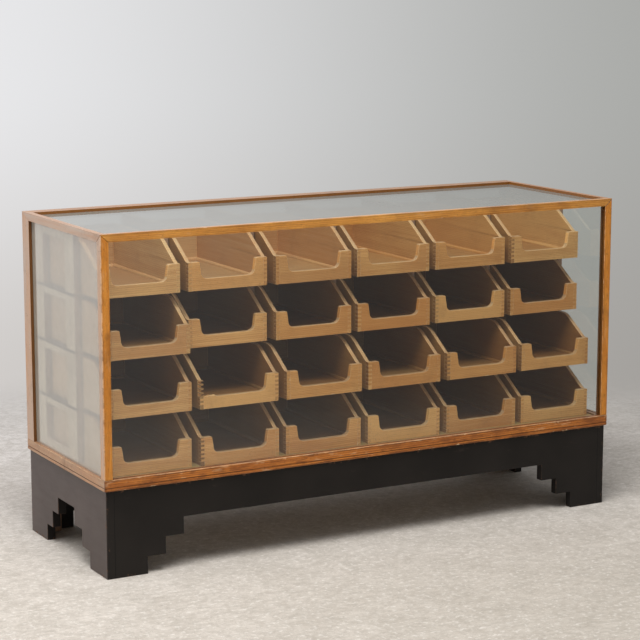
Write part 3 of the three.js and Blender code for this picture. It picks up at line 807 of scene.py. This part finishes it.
# Each board's place in the timber, to which every drawer adds its own
FRONT_SEED, SIDE_SEED, SIDE_SEED_STEP = 1.3, 5.1, 31
BACK_SEED, BOTTOM_SEED, BEAD_SEED = 9.7, 14.9, 21.3


def bent(start, corner, end, flats):
    """Points of a curve from start to end round a corner point."""
    return [
        tuple(
            (1 - t) ** 2 * a + 2 * t * (1 - t) * b + t * t * c
            for a, b, c in zip(start, corner, end)
        )
        for t in (step / flats for step in range(flats + 1))
    ]


def front_outline(broken):
    """The scooped front between the two sides."""
    inner = EAR_WIDTH + SCOOP_FLARE
    start, end = (EAR_WIDTH - EAR_ROUND, EAR_HEIGHT), (EAR_WIDTH, EAR_HEIGHT - EAR_ROUND)
    rounded = bent(start, (EAR_WIDTH, EAR_HEIGHT), end, 4)
    start, end = (inner, SCOOP_FLOOR + SCOOP_RADIUS), (inner + SCOOP_RADIUS, SCOOP_FLOOR)
    scoop = bent(start, (inner, SCOOP_FLOOR), end, 10)
    ear = [(SIDE_THICKNESS, EAR_HEIGHT), *rounded, *scoop]
    left = ear
    if broken:
        left = [(a, BREAK_HEIGHT + rise) for a, rise in BROKEN_EDGE]
        left += [(0.0362, SCOOP_FLOOR + 0.0003), scoop[-1]]
    right = [(DRAWER_WIDTH - a, b) for a, b in reversed(ear)]
    low = [(DRAWER_WIDTH - SIDE_THICKNESS, 0.0), (SIDE_THICKNESS, 0.0)]
    return low + left + right


def comb(depth_outer, depth_inner, count):
    """The edge of a side, toothed between the pins, from the bottom up."""
    made = []
    narrow = PIN_SHARE / 2 + JOINT_SLACK
    wide = narrow + PIN_SPLAY
    for number in range(count):
        middle = FIRST_PIN + PIN_PITCH * number
        made += [(depth_outer, middle - narrow), (depth_inner, middle - wide)]
        made += [(depth_inner, middle + wide), (depth_outer, middle + narrow)]
    return made


FRONT_PINS = 6
BACK_PINS = 11
side_outline = (
    [(0.0, 0.0)]
    + comb(0.0, FRONT_THICKNESS, FRONT_PINS)
    + [(0.0, EAR_HEIGHT), (FRONT_THICKNESS, EAR_HEIGHT)]
    + bent(KNEE, (CROWN_DEPTH, DRAWER_HEIGHT), (CROWN_END, DRAWER_HEIGHT), 8)
    + [(DRAWER_LENGTH, DRAWER_HEIGHT)]
    + list(reversed(comb(DRAWER_LENGTH, DRAWER_LENGTH - BACK_THICKNESS, BACK_PINS)))
    + [(DRAWER_LENGTH, 0.0)]
)

# The pins at the ends of fronts and backs: wedges in a row, one recipe for all four corners
pin_sizes = {
    "Pins": FRONT_PINS,
    "Pitch": PIN_PITCH,
    "Narrow": PIN_SHARE,
    "Splay": PIN_SPLAY * 2,
    "Thickness": SIDE_THICKNESS,
    "Depth": FRONT_THICKNESS,
    "Wood": ladder_wood,
}
pin_net, wire = recipe_named("dovetail_pins", pin_sizes)
block = pin_net.node("GeometryNodeMeshCube", {"Size": (1.0, 1.0, 1.0)})
x, y, z = pin_net.parts(pin_net.node("GeometryNodeInputPosition"))
flared = z * (wire["Narrow"] + wire["Splay"] * (y + 0.5))
moved = pin_net.joined(x * wire["Thickness"], y * wire["Depth"], flared)
wedge = pin_net.node("GeometryNodeSetPosition", {"Geometry": block, "Position": moved})
finished_recipe(pin_net, row_of(pin_net, wedge, wire["Pins"], wire["Pitch"]), wire["Wood"])

# The bead: a quadrant swept round the inside of the box on top of the bottom
bead_sizes = {
    "Width": DRAWER_WIDTH - SIDE_THICKNESS - SIDE_THICKNESS,
    "Length": DRAWER_LENGTH - BACK_THICKNESS - FRONT_THICKNESS,
    "Size": BEAD_SIZE,
    "Wood": ladder_wood,
}
bead_net, wire = recipe_named("quadrant_bead", bead_sizes)
path = {"Width": wire["Width"], "Height": wire["Length"]}
path = bead_net.node("GeometryNodeCurvePrimitiveQuadrilateral", path, {"mode": "RECTANGLE"})
profile = {
    "Resolution": 6,
    "Radius": wire["Size"],
    "Start Angle": math.pi,
    "Sweep Angle": math.pi / 2,
    "Connect Center": True,
}
profile = bead_net.node("GeometryNodeCurveArc", profile, {"mode": "RADIUS"})
bead = bead_net.node("GeometryNodeCurveToMesh", {"Curve": path, "Profile Curve": profile})
finished_recipe(bead_net, bead, wire["Wood"])


def lay_mesh(bench, mesh, shift, grain, seed, low=None, high=None, backward=False):
    """Adds a recipe's mesh as part of a board, facing backward for the joints at the back."""
    signs = (1, -1, 1) if backward else (1, 1, 1)
    points = [
        tuple(part * sign + move for part, sign, move in zip(vert.co, signs, shift))
        for vert in mesh.vertices
    ]
    faces = [tuple(face.vertices) for face in mesh.polygons]
    if backward:
        faces = [face[::-1] for face in faces]
    bench.lay(points, faces, [0.0] * len(faces), grain, seed, low=low, high=high)


def looks_up(corners):
    """True for a face that is turned upwards."""
    a, b, c = (Vector(corner) for corner in corners[:3])
    return (b - a).cross(c - b).normalized().z > 0.3


def drawer_bench(row_number, column):
    """All boards of a drawer, with its low front left corner at the origin."""
    broken = (row_number, column) == BROKEN_DRAWER
    stain = DARK_JOINTS.get((row_number, column), 0.0)
    floor_shade, wall_shade = INSIDE_SHADE[row_number]
    inside_dust = INSIDE_DUST.get((row_number, column), 0.0)
    left_shade = GAP_SHADE if column > 1 else END_SHADE[row_number]
    right_shade = GAP_SHADE if column < COLUMNS else END_SHADE[row_number]
    bench = Bench()
    inner_right = DRAWER_WIDTH - SIDE_THICKNESS
    back_start = DRAWER_LENGTH - BACK_THICKNESS
    front_low, front_high = (0.0, 0.0, 0.0), (DRAWER_WIDTH, FRONT_THICKNESS, EAR_HEIGHT)
    back_low, back_high = (0.0, back_start, 0.0), (DRAWER_WIDTH, DRAWER_LENGTH, DRAWER_HEIGHT)
    points, faces, rims = slab(front_outline(broken), 0.0, FRONT_THICKNESS, 1, BOARD_ARRIS)
    if broken:
        for place, face in enumerate(faces):
            corners = [points[corner] for corner in face]
            if all(a < BREAK_END and BREAK_HEIGHT - 0.002 < c for a, b, c in corners):
                rims[place] = 1.0
    bench.lay(points, faces, rims, 0, FRONT_SEED, 0.0, front_low, front_high)
    for left, side_stain in ((0.0, stain), (inner_right, stain * 0.15)):
        side = slab(side_outline, left, left + SIDE_THICKNESS, 0, BOARD_ARRIS)
        bench.lay(*side, 1, SIDE_SEED + left * SIDE_SEED_STEP, side_stain)
    back = plank((SIDE_THICKNESS, back_start, 0.0), (inner_right, *back_high[1:]), BOARD_ARRIS)
    bench.lay(*back, 0, BACK_SEED, 0.0, back_low, back_high)
    bottom = plank(
        (SIDE_THICKNESS - GROOVE, FRONT_THICKNESS - GROOVE, BOTTOM_LOW),
        (inner_right + GROOVE, back_start + GROOVE, BOTTOM_HIGH),
        BOARD_ARRIS,
    )
    bench.lay(*bottom, 0, BOTTOM_SEED)
    place = (DRAWER_WIDTH / 2, (FRONT_THICKNESS + back_start) / 2, BOTTOM_HIGH - HAIR)
    lay_mesh(bench, made_by(bead_net, bead_sizes), place, 1, BEAD_SEED)
    middle = SIDE_THICKNESS / 2
    for at, is_left in ((middle, True), (DRAWER_WIDTH - middle, False)):
        count = PINS_LEFT if broken and is_left else FRONT_PINS
        pin_sizes.update({"Pins": count, "Depth": FRONT_THICKNESS})
        place = (at, FRONT_THICKNESS / 2, FIRST_PIN)
        mesh = made_by(pin_net, pin_sizes)
        lay_mesh(bench, mesh, place, 0, FRONT_SEED, front_low, front_high)
        pin_sizes.update({"Pins": BACK_PINS, "Depth": BACK_THICKNESS})
        place = (at, DRAWER_LENGTH - BACK_THICKNESS / 2, FIRST_PIN)
        mesh = made_by(pin_net, pin_sizes)
        lay_mesh(bench, mesh, place, 0, BACK_SEED, back_low, back_high, True)

    # Every face is marked by where it lies: painted highlight on the upper edges, painted shade
    # inside, on the outer sides and on the right-hand fronts, painted sheen and light at the
    # left, and dust inside
    for place, face in enumerate(bench.faces):
        corners = [bench.points[corner] for corner in face]
        a, b, c = (sum(parts) / len(corners) for parts in zip(*corners))
        inside = (
            SIDE_THICKNESS - TOUCHING < a < inner_right + TOUCHING
            and FRONT_THICKNESS - TOUCHING < b < back_start + TOUCHING
        )
        upper_edge = (
            bench.rims[place] == 0.0
            and max(corner[2] for corner in corners) > SCOOP_FLOOR - HAIR
            and b < back_start
            and looks_up(corners)
        )
        if upper_edge:
            bench.rims[place], bench.sunk[place], bench.sheen_and_dust[place] = EDGE_MARKS
        elif inside and c < DRAWER_HEIGHT - BOARD_ARRIS:
            bench.sunk[place] = floor_shade if c < BOTTOM_HIGH + HAIR else wall_shade
            bench.sheen_and_dust[place] = inside_dust
        elif a < HAIR:
            bench.sunk[place] = left_shade
            bench.sheen_and_dust[place] = END_SHEEN if column == 1 else 0.0
        elif a > DRAWER_WIDTH - HAIR:
            bench.sunk[place] = right_shade
        elif b < FRONT_THICKNESS / 2:
            bench.sunk[place] = FRONT_SHADE.get(column, 0.0)
            bench.sheen_and_dust[place] = FRONT_PAINTED_LIGHT.get(column, 0.0)
    return bench


drawer_wood = wood(
    "drawer_hardwood", shade(245, 194, 122), shade(202, 140, 77), shade(246, 222, 178),
    ring=0.0036, figure=0.4, pores=0.35, rough=0.5, lacquer=0.08, shine=0.35, rub=0.0011,
    rub_and_highlight_share=0.8, grime=0.22, fibres=0.6, streaks=0.8, nicks=0.25, edge_highlight=0.35,
    spread=0.6, glow=shade(210, 128, 40), sheen_and_dust_colour=shade(230, 211, 180),
)
PLACES = [(row, column) for row in range(1, ROWS + 1) for column in range(1, COLUMNS + 1)]
for row_number, column in PLACES:
    node = f"drawer_row{row_number}_col{column}"
    name = f"drawer_{row_number}_{column}_boards"
    place = tuple(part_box(node)[0])
    drawer = drawer_bench(row_number, column).piece(name, drawer_wood, place, next_seed())
    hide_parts(node)
    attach(drawer, node)

# Drawer knobs: small turned knobs on the backs, by which the drawers are pulled out behind
# the counter. They are darker hardwood, polished by hands.
KNOB_HEIGHT = 0.052
KNOB_PROFILE = (
    (0.0048, -0.003), (0.0058, 0.0002), (0.0055, 0.003), (0.0058, 0.0052), (0.0084, 0.0072),
    (0.0098, 0.0098), (0.0099, 0.0120), (0.0088, 0.0142), (0.0062, 0.0155), (0.0030, 0.0160),
)
KNOB_SIDES = 24
knob_wood = wood(
    "knob_hardwood", shade(150, 96, 52), shade(104, 60, 30), shade(186, 136, 86),
    ring=0.002, figure=0.4, pores=0.3, rough=0.35, lacquer=0.3, grime=0.2,
)


def turned(profile, sides):
    """Points and faces of a shape turned round the depth axis, closed at both ends."""
    points = []
    for radius, along in profile:
        for side in range(sides):
            angle = side * math.tau / sides
            points.append((radius * math.cos(angle), along, radius * math.sin(angle)))
    faces = []
    for level in range(len(profile) - 1):
        for side in range(sides):
            here = level * sides + side
            beside = level * sides + (side + 1) % sides
            faces.append((here, here + sides, beside + sides, beside))
    faces.append(tuple(range(sides)))
    last = (len(profile) - 1) * sides
    faces.append(tuple(reversed(range(last, last + sides))))
    return points, faces, [0.0] * len(faces)


for row_number, column in PLACES:
    node = f"drawer_row{row_number}_col{column}"
    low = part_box(node)[0]
    bench = Bench()
    bench.lay(*turned(KNOB_PROFILE, KNOB_SIDES), 1, next_seed())
    place = (low.x + DRAWER_WIDTH / 2, low.y + DRAWER_LENGTH, low.z + KNOB_HEIGHT)
    knob = bench.piece(f"knob_{row_number}_{column}", knob_wood, place)
    for face in knob.data.polygons:
        face.use_smooth = True
    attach(knob, node)

# Plinth: four boards mitred at the corners, their lower edges stepped up to a straight
# apron, painted satin black over the wood, with the paint knocked off here and there.
SEAM_PLACE = 0.0165


def black_paint(name):
    """Worn paint over wood, with a dark seam near the ends of a board that is stained."""
    made, net = finish_named(name)
    rim_wear_and_highlight = net.saved("rim_wear_and_highlight", "Fac")
    place = own_place(net)
    grain = net.grained(place, 9.0, 260.0, 3.0, 0.6)
    cloud = net.noise(place, 5.0, 3.0, 0.6)
    scuffs = net.grained(place, 18.0, 60.0, 4.0, 0.7)
    along, edge = from_edges(net)
    chips = net.noise(place, 85.0, 4.0, 0.7)
    knocked = net.step(chips, 0.56, 0.66) * (1.0 - net.step(edge, 0.002, 0.007))
    knocked = net.sum("MAXIMUM", knocked, rim_wear_and_highlight * net.step(chips, 0.47, 0.6) * 0.8)
    colour = net.mix(net.step(cloud, 0.3, 0.75), shade(24, 21, 19), shade(34, 30, 27))
    # The left end is painted paler, as the sheen of the light from the left
    sheen_and_dust = net.saved("sheen_and_dust", "Fac")
    colour = net.mix(sheen_and_dust * (0.8 + (cloud - 0.5) * 0.8), colour, shade(86, 75, 72))
    colour = net.mix(net.step(scuffs, 0.62, 0.75) * 0.3, colour, shade(66, 56, 50))
    colour = net.mix(knocked * 0.75, colour, shade(120, 88, 66))
    seam = 1.0 - net.step(net.sum("ABSOLUTE", along - SEAM_PLACE), 0.0004, 0.0013)
    seam = seam * net.saved("stain", "Fac")
    colour = net.mix(seam * 0.8, colour, shade(8, 7, 6))
    height = grain * 0.5 - knocked * 0.8 + cloud * 0.3 - seam * 2.0
    values = {
        "Base Color": colour,
        "Roughness": 0.36 + (scuffs - 0.5) * 0.25 + knocked * 0.3,
        "Specular IOR Level": 0.2,
    }
    surfaced(net, 0.3, height, values)
    return made


satin_black = black_paint("satin_black")
for side, grain in SIDES:
    member("plinth_" + side, grain, 0.0007, satin_black, "plinth_black", "black_")

# Glue blocks: square sticks of raw softwood, glued and rubbed into the corners behind the
# plinth boards, which they hold together.
for corner in CORNERS:
    member("glue_block_" + corner, 2, 0.001, ladder_wood, "ladder_wood", "softwood_")

# The studio: a pale, faintly mottled floor that runs out into a grey backdrop, lighter at the
# left. It isn't part of the object.
VIEW_RIGHT = (math.cos(CAMERA_TURN), -math.sin(CAMERA_TURN), 0.0)
VIEW_AWAY = (math.sin(CAMERA_TURN), math.cos(CAMERA_TURN), 0.0)
FLOOR_RADIUS = 4.2
FLOOR_FADES_FROM, FLOOR_FADES_TO = 0.95, 1.8
ROOM_LIGHT = 0.32

floor_finish, net = finish_named("studio_floor")
place = net.node("ShaderNodeTexCoord", out="Object")
across = net.vector("DOT_PRODUCT", place, VIEW_RIGHT, out=1)
away = net.vector("DOT_PRODUCT", place, VIEW_AWAY, out=1)
radius = net.vector("LENGTH", place, out=1)
# The floor's colour is painted light and shade: darker to the right, and lighter farther off
near_colour = net.mix(net.step(across, -0.9, 0.7), shade(210, 202, 193), shade(195, 187, 176))
far_colour = net.mix(net.step(across, -0.9, 0.9), shade(228, 223, 220), shade(222, 216, 210))
colour = net.mix(net.step(away, -0.7, 0.9), near_colour, far_colour)

# Mottling, grit, pale flecks and pits: the noise of each, where it starts, its share and tint
for scale, detail, rough, start, end, share, tint in (
    (9.0, 5.0, 0.65, 0.35, 0.7, 0.28, shade(158, 150, 138)),
    (42.0, 6.0, 0.8, 0.4, 0.62, 0.33, shade(150, 141, 128)),
    (90.0, 3.0, 0.6, 0.54, 0.66, 0.28, shade(250, 247, 242)),
    (160.0, 2.0, 0.6, 0.6, 0.7, 0.24, shade(128, 119, 107)),
):
    marks = net.step(net.noise(place, scale, detail, rough), start, end)
    colour = net.mix(marks * share, colour, tint)
cracks = net.noise(net.vector("MULTIPLY", place, (3.0, 14.0, 1.0)), 4.0, 6.0, 0.8)
creases = 1.0 - net.step(net.sum("ABSOLUTE", cracks - 0.5), 0.0, 0.022)
colour = net.mix(creases * 0.3, colour, shade(120, 110, 98))
ground = net.node("ShaderNodeBsdfPrincipled", {"Base Color": colour, "Roughness": 0.85})
gone = net.node("ShaderNodeBsdfTransparent")
fading = net.step(radius, FLOOR_FADES_FROM, FLOOR_FADES_TO)
net.node("ShaderNodeOutputMaterial", {"Surface": net.over(fading, ground, gone)})

ground_shape = bmesh.new()
bmesh.ops.create_circle(ground_shape, cap_ends=True, radius=FLOOR_RADIUS, segments=64)
ground_mesh = bpy.data.meshes.new("studio_floor")
ground_shape.to_mesh(ground_mesh)
ground_shape.free()
ground_mesh.materials.append(floor_finish)
studio_floor = set_up("studio_floor", ground_mesh)

studio = bpy.data.worlds.new("studio")
studio.use_nodes = True
bpy.context.scene.world = studio
net = Net(studio.node_tree)
heading = net.node("ShaderNodeTexCoord", out="Generated")
across = net.vector("DOT_PRODUCT", heading, VIEW_RIGHT, out=1)
rise = net.parts(heading)[2]
sideways = net.step(across, -0.21, 0.19)
colour = net.mix(sideways, shade(234, 234, 236), shade(169, 170, 167))
low_colour = net.mix(sideways, shade(209, 205, 202), shade(163, 160, 156))
colour = net.mix(net.step(rise * -1.0, 0.06, 0.21), colour, low_colour)
ray = net.node("ShaderNodeLightPath", out="Is Camera Ray").socket.node.outputs
toward_room = net.vector("DOT_PRODUCT", heading, VIEW_AWAY, out=1)
dark_room = net.step(toward_room * -1.0, 0.2, 0.7) * Wire(net, ray["Is Glossy Ray"])
room_colour = net.mix(
    net.step(net.parts(heading)[0], 0.36, 0.58), shade(164, 162, 160), shade(78, 70, 66)
)
colour = net.mix(dark_room, colour, room_colour)
seen = net.node("ShaderNodeBackground", {"Color": colour})
light = {"Color": (1.0, 0.99, 0.985, 1), "Strength": ROOM_LIGHT}
light = net.node("ShaderNodeBackground", light)
is_seen = net.sum("MAXIMUM", Wire(net, ray["Is Camera Ray"]), Wire(net, ray["Is Glossy Ray"]))
is_seen = net.sum("MAXIMUM", is_seen, Wire(net, ray["Is Transmission Ray"]))
net.node("ShaderNodeOutputWorld", {"Surface": net.over(is_seen, light, seen)})

# Lamps as large as windows, which show in mirrors only where they shine: place, aim, size, watts
for name, place, aim, size, watts, shines in (
    ("key_light", (-0.95, -1.12, 3.05), (-0.1, 0.0, 0.3), (2.0, 1.4), 104, True),
    ("front_light", (-1.4, -3.2, 0.9), (0.1, 0.0, 0.3), (2.4, 1.2), 6, False),
    ("left_light", (-3.0, 0.1, 1.5), (-0.6, 0.0, 0.4), (1.8, 1.8), 23, False),
):
    lamp = set_up(name, bpy.data.lights.new(name, "AREA"))
    lamp.data.shape = "RECTANGLE"
    lamp.data.size, lamp.data.size_y = size
    lamp.data.energy = watts
    lamp.visible_camera = False
    lamp.visible_glossy = shines
    lamp.location = place
    lamp.rotation_euler = (Vector(aim) - Vector(place)).to_track_quat("-Z", "Y").to_euler()
